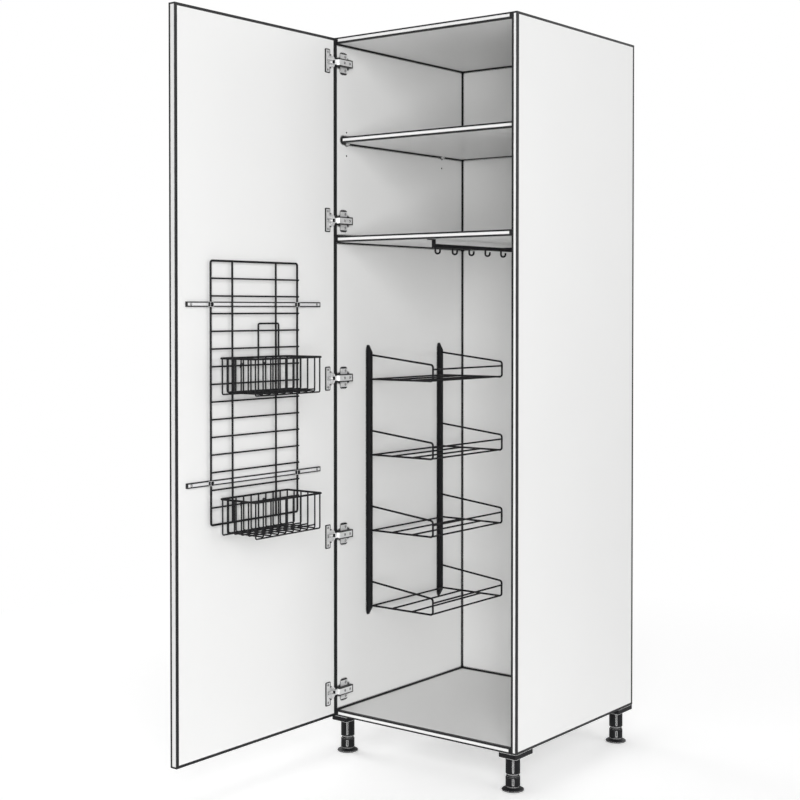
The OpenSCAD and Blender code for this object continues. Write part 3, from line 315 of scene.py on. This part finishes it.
FINISH_OF_NODE = {"edge_bands": melamine(
    "white_carcass_bands", WHITE, carcass_band_lines(BAND_LINE, WIDE_LINE, THIN_LINE))}
for board in ("left_side", "right_side", "top_panel", "bottom_panel", "fixed_shelf", "adjustable_shelf"):
    lines = board_lines(board, BOARD_LINE, along_y=THIN_LINE if board == "left_side" else SLANT_LINE)
    FINISH_OF_NODE[board] = melamine("white_" + board, WHITE, lines, CORNER_SHADE_WIDTH)
FINISH_OF_NODE["shelf_edge_band"] = melamine(
    "white_shelf_edge_band", WHITE, board_lines("shelf_edge_band", BAND_LINE))
FINISH_OF_NODE["door_edge_bands"] = melamine(
    "white_door_edge_bands", WHITE,
    board_lines("door_edge_bands", BAND_LINE, along_x=WIDE_LINE, past=WIDE_LINE - THIN_LINE))
FINISH_OF_NODE["back_panel"] = melamine(
    "white_hardboard", HARDBOARD_WHITE, board_lines("back_panel", BOARD_LINE), CORNER_SHADE_WIDTH)
FINISH_OF_NODE["door"] = melamine("white_door", WHITE, board_lines("door", BOARD_LINE))
for rail in ("door_rail_upper", "door_rail_lower"):
    FINISH_OF_NODE[rail] = anodised("aluminium_" + rail, ALUMINIUM, board_lines(rail, THIN_LINE))
nickel = plated("nickel_plate", NICKEL)
arm_end = float(node_points("hinge_arms")[:, 1].max())
plate_ends = [float(end(node_points("hinge_plates")[:, 1])) for end in (np.min, np.max)]
cup_middle = float(node_points("hinge_cup_screws")[:, 1].mean())
FINISH_OF_NODE["hinge_arms"] = plated("nickel_arms", NICKEL, hinge_lines("hinge_arms", [arm_end]))
FINISH_OF_NODE["hinge_plates"] = plated("nickel_plates", NICKEL, hinge_lines("hinge_plates", plate_ends))
FINISH_OF_NODE["hinge_cups"] = plated("nickel_cups", NICKEL, hinge_lines(
    "hinge_cups", [cup_middle - FLANGE_HALF, cup_middle + FLANGE_HALF]))
blackened = powder_coat("blackened_steel", BLACKENED)
FINISH_OF_SLOT = {
    "nickel_steel": nickel,
    "cast_zinc": cast_zinc("cast_zinc"),
    "black_coated_steel": powder_coat("black_powder_coat", BLACK),
    "black_plastic": moulded("black_leg_plastic", BLACK, EDGE_HIGHLIGHT_GREY),
    "beech_dowel": beech("beech"),
}
for row in frame["record"]["subparts"]:
    name = row["node"]
    mesh = NODES[name].data
    mesh.materials.clear()
    mesh.materials.append(FINISH_OF_NODE.get(name) or FINISH_OF_SLOT[row["material_slot"]])


# Screws


def smooth(low, high, value):
    """0 below low, 1 above high, and a cubic ease between them."""
    share = np.clip((value - low) / (high - low), 0.0, 1.0)
    return share * share * (3.0 - 2.0 * share)


def screw_surface(length, shank, head, crown, rings=24, spokes=48):
    """A screw as a surface of turn: rings run out over the head and back down the shank, spokes go round.

    The head's top bulges by the crown, as a quarter cosine of the radius, and its highest point is at z 0.
    A cross recess is sunk into it: its depth falls off from the middle, and eases to nothing across the
    sides of four arms. Under the head the radius runs down a cone to the shank. The thread on the shank is a
    triangle wave of the height plus the turn, so it winds as a helix, and it fades out towards the point.
    """
    pitch = 0.45 * shank
    recess = 0.16 * head
    turn = np.linspace(0.0, 2.0 * np.pi, spokes, endpoint=False)
    neck = -crown if crown else -(head - shank) / 2
    r_top = head / 2 * np.linspace(0.0, 1.0, rings + 1)[1:]
    z_top = crown * (np.cos(np.pi * r_top / head) - 1.0)
    z_stem = np.linspace(neck, -length, 5 * round(length / pitch))[:-1]
    r_stem = shank / 2 * np.clip((z_stem + length) / shank, 0.0, 1.0)
    r, t = np.meshgrid(np.concatenate([r_top, r_stem]), turn, indexing="ij")
    z, t = np.meshgrid(np.concatenate([z_top, z_stem]), turn, indexing="ij")
    on_head = np.arange(len(z))[:, None] < rings
    wave = np.abs((z / pitch - t / (2.0 * np.pi)) % 1.0 - 0.5)
    r = np.where(on_head, r, r * (0.8 + 0.4 * wave))
    x, y = r * np.cos(t), r * np.sin(t)
    side = smooth(0.044 * head, 0.072 * head, np.minimum(np.abs(x), np.abs(y)))
    end = smooth(0.20 * head, 0.27 * head, np.maximum(np.abs(x), np.abs(y)))
    z = z - recess * (1.0 - side) * (1.0 - end) * on_head
    grid = np.stack([x, y, z], axis=-1).reshape(-1, 3)
    verts = np.concatenate([grid, [[0.0, 0.0, -recess], [0.0, 0.0, -length]]])
    i, j = np.meshgrid(np.arange(len(z) - 1), np.arange(spokes), indexing="ij")
    i, j = i.ravel() * spokes, j.ravel()
    k = (j + 1) % spokes
    one = np.stack([i + j, i + spokes + j, i + spokes + k], axis=-1)
    two = np.stack([i + j, i + spokes + k, i + k], axis=-1)
    around = np.arange(spokes)
    onward = (around + 1) % spokes
    middle = np.stack([np.full(spokes, len(grid)), around, onward], axis=-1)
    last = len(grid) - spokes
    tip = np.stack([np.full(spokes, len(grid) + 1), last + onward, last + around], axis=-1)
    return verts, np.concatenate([one, two, middle, tip])


def screw_places(points, out, head_reach=0.009):
    """Where a node's screws end outwards: the points of each outermost rim, taken together by nearness."""
    high = points @ out
    rims = points[high > high.max() - 1e-5]
    places = []
    while len(rims):
        near = np.linalg.norm(rims - rims[0], axis=1) < head_reach
        low, top = rims[near].min(axis=0), rims[near].max(axis=0)
        places.append((low + top) / 2)
        rims = rims[~near]
    return places


def mesh_piece(name, verts, faces, finish, body, slot, *stands_for):
    """A mesh from arrays that rides on a body and stands for CAD nodes. Edges over 35 degrees stay sharp."""
    mesh = bpy.data.meshes.new(name)
    mesh.from_pydata(verts.tolist(), [], faces.tolist())
    mesh.materials.append(finish)
    mesh.shade_smooth()
    mesh.set_sharp_from_angle(angle=math.radians(35))
    piece = bpy.data.objects.new(name, mesh)
    bpy.context.scene.collection.objects.link(piece)
    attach(piece, body)
    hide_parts(*stands_for)


def screws(name, node, body, out, shank, head, crown=0.0, finish=nickel, turn_on=0.6):
    """The screws of a CAD node with threads and driven heads, each turned a little further than the last."""
    out = np.array(out, float)
    up = np.array((0.0, 1.0, 0.0)) if abs(out[2]) > 0.5 else np.array((0.0, 0.0, 1.0))
    axes = np.stack([np.cross(up, out), up, out])
    points = node_points(node)
    places = screw_places(points, out)
    length = np.ptp(points @ out)
    verts, faces = screw_surface(length, shank, head, crown)
    turned = []
    for count, place in enumerate(places):
        c, s = math.cos(turn_on * count), math.sin(turn_on * count)
        spin = np.array([[c, s, 0.0], [-s, c, 0.0], [0.0, 0.0, 1.0]])
        turned.append(verts @ spin @ axes + place)
    faces = np.concatenate([faces + len(verts) * count for count in range(len(places))])
    mesh_piece(name, np.concatenate(turned), faces, finish, body, "nickel_steel", node)


RIGHT, BACK, DOWN = (1, 0, 0), (0, 1, 0), (0, 0, -1)
screws("plate_screws", "hinge_plate_screws", "carcass", RIGHT, 0.0045, 0.008)
screws("arm_screws", "hinge_arm_screws", "carcass", RIGHT, 0.004, 0.0075, crown=0.0016)
screws("cup_screws", "hinge_cup_screws", "door", RIGHT, 0.0035, 0.007)
screws("rail_screws", "door_rail_screws", "door", RIGHT, 0.004, 0.0075)
screws("upright_screws", "rack_screws", "carcass", RIGHT, 0.0035, 0.007, finish=blackened)
screws("hook_screws", "hook_rail_screws", "carcass", DOWN, 0.0035, 0.007, finish=blackened)
screws("panel_screws", "back_screws", "carcass", BACK, 0.003, 0.0065)
screws("socket_screws", "leg_screws", "carcass", DOWN, 0.004, 0.008)


# Floor, light and camera


def floor():
    """A wide white floor at Z 0 that keeps the shadows near the object and fades into plain white.

    To the camera alone the near floor is lifted towards white. The far floor is full white to the camera and
    dimmer as light on the object.
    """
    reach = 60.0
    lift = 0.31
    bounce = 0.33
    fade_starts = 0.8
    fade_ends = 2.6
    mesh = bpy.data.meshes.new("floor")
    mesh.from_pydata([(-reach, -reach, 0), (reach, -reach, 0), (reach, reach, 0), (-reach, reach, 0)], [],
                     [(0, 1, 2, 3)])
    finish = Finish("floor_white", (0.90, 0.90, 0.90), 0.9, specular=0.1)
    finish.shader.inputs["Emission Color"].default_value = (1.0, 1.0, 1.0, 1.0)
    seen = finish.node("ShaderNodeLightPath").outputs["Is Camera Ray"]
    finish.tree.links.new(finish.spread(seen, 0.0, lift), finish.shader.inputs["Emission Strength"])
    away = finish.node("ShaderNodeVectorMath", {0: finish.point}, operation="LENGTH").outputs["Value"]
    glow = {"Color": (1.0, 1.0, 1.0, 1.0), "Strength": finish.spread(seen, bounce, 1.0)}
    plain = finish.node("ShaderNodeEmission", glow)
    share = finish.spread(away, 0.0, 1.0, fade_starts, fade_ends)
    both = {0: share, 1: finish.shader.outputs["BSDF"], 2: plain.outputs["Emission"]}
    mixed = finish.node("ShaderNodeMixShader", both)
    finish.tree.links.new(mixed.outputs["Shader"], finish.tree.nodes["Material Output"].inputs["Surface"])
    mesh.materials.append(finish.material)
    ground = bpy.data.objects.new("floor", mesh)
    bpy.context.scene.collection.objects.link(ground)


def soft_sky(level):
    """An even white surround: full white to the camera and in reflections, dimmer as light on the object."""
    world = bpy.data.worlds.new("studio")
    bpy.context.scene.world = world
    world.use_nodes = True
    tree = world.node_tree
    background = tree.nodes["Background"]
    background.inputs["Color"].default_value = (1.0, 1.0, 1.0, 1.0)
    path = tree.nodes.new("ShaderNodeLightPath")
    first = tree.nodes.new("ShaderNodeMath")
    first.operation = "MAXIMUM"
    tree.links.new(path.outputs["Is Camera Ray"], first.inputs[0])
    tree.links.new(path.outputs["Is Glossy Ray"], first.inputs[1])
    both = tree.nodes.new("ShaderNodeMath")
    both.operation = "MAXIMUM"
    tree.links.new(first.outputs[0], both.inputs[0])
    tree.links.new(path.outputs["Is Transmission Ray"], both.inputs[1])
    strength = tree.nodes.new("ShaderNodeMapRange")
    strength.inputs["To Min"].default_value = level
    strength.inputs["To Max"].default_value = 1.0
    tree.links.new(both.outputs[0], strength.inputs["Value"])
    tree.links.new(strength.outputs["Result"], background.inputs["Strength"])


def lamp(name, place, aim, size, power):
    """A square soft box that faces a point."""
    light = bpy.data.lights.new(name, "AREA")
    light.size = size
    light.energy = power
    made = bpy.data.objects.new(name, light)
    bpy.context.scene.collection.objects.link(made)
    made.location = place
    way = np.array(aim, float) - np.array(place, float)
    pan = math.atan2(way[1], way[0])
    drop = math.atan2(-way[2], math.hypot(way[0], way[1]))
    made.rotation_euler = (math.pi / 2 - drop, 0.0, pan - math.pi / 2)


def camera():
    """The photograph's view, fitted to the carcass corners, with the lens shifted as in the drawing."""
    focal_pixels = 1456.32
    picture_pixels = 800.0
    data = bpy.data.cameras.new("camera")
    data.sensor_width = 36.0
    data.lens = focal_pixels * 36.0 / picture_pixels
    data.shift_x = 0.0109
    data.shift_y = -0.08
    data.clip_end = 200.0
    made = bpy.data.objects.new("camera", data)
    made.location = (2.2703153, -3.0415139, 1.2118847)
    made.rotation_euler = (math.radians(90.0 - 1.0396), 0.0, math.radians(37.8559))
    bpy.context.scene.collection.objects.link(made)
    bpy.context.scene.camera = made


floor()
soft_sky(0.33)
for name, place, aim, size, power in (
        ("high_key", (3.5, -4.25, 2.7), (0.0, 0.0, 1.0), 2.6, 138.0),
        ("low_key", (3.3, -4.05, 0.5), (0.0, 0.0, 1.2), 1.6, 122.0),
        ("right_fill", (5.4, 0.6, 2.2), (0.0, 0.3, 1.0), 3.0, 55.0),
        ("left_fill", (-5.2, 0.6, 2.4), (0.0, 0.3, 1.0), 3.0, 120.0),
        ("back_fill", (0.4, 5.8, 2.4), (0.0, 0.3, 1.0), 3.0, 45.0)):
    lamp(name, place, aim, size, power)
camera()
bpy.context.scene.view_settings.view_transform = "Standard"
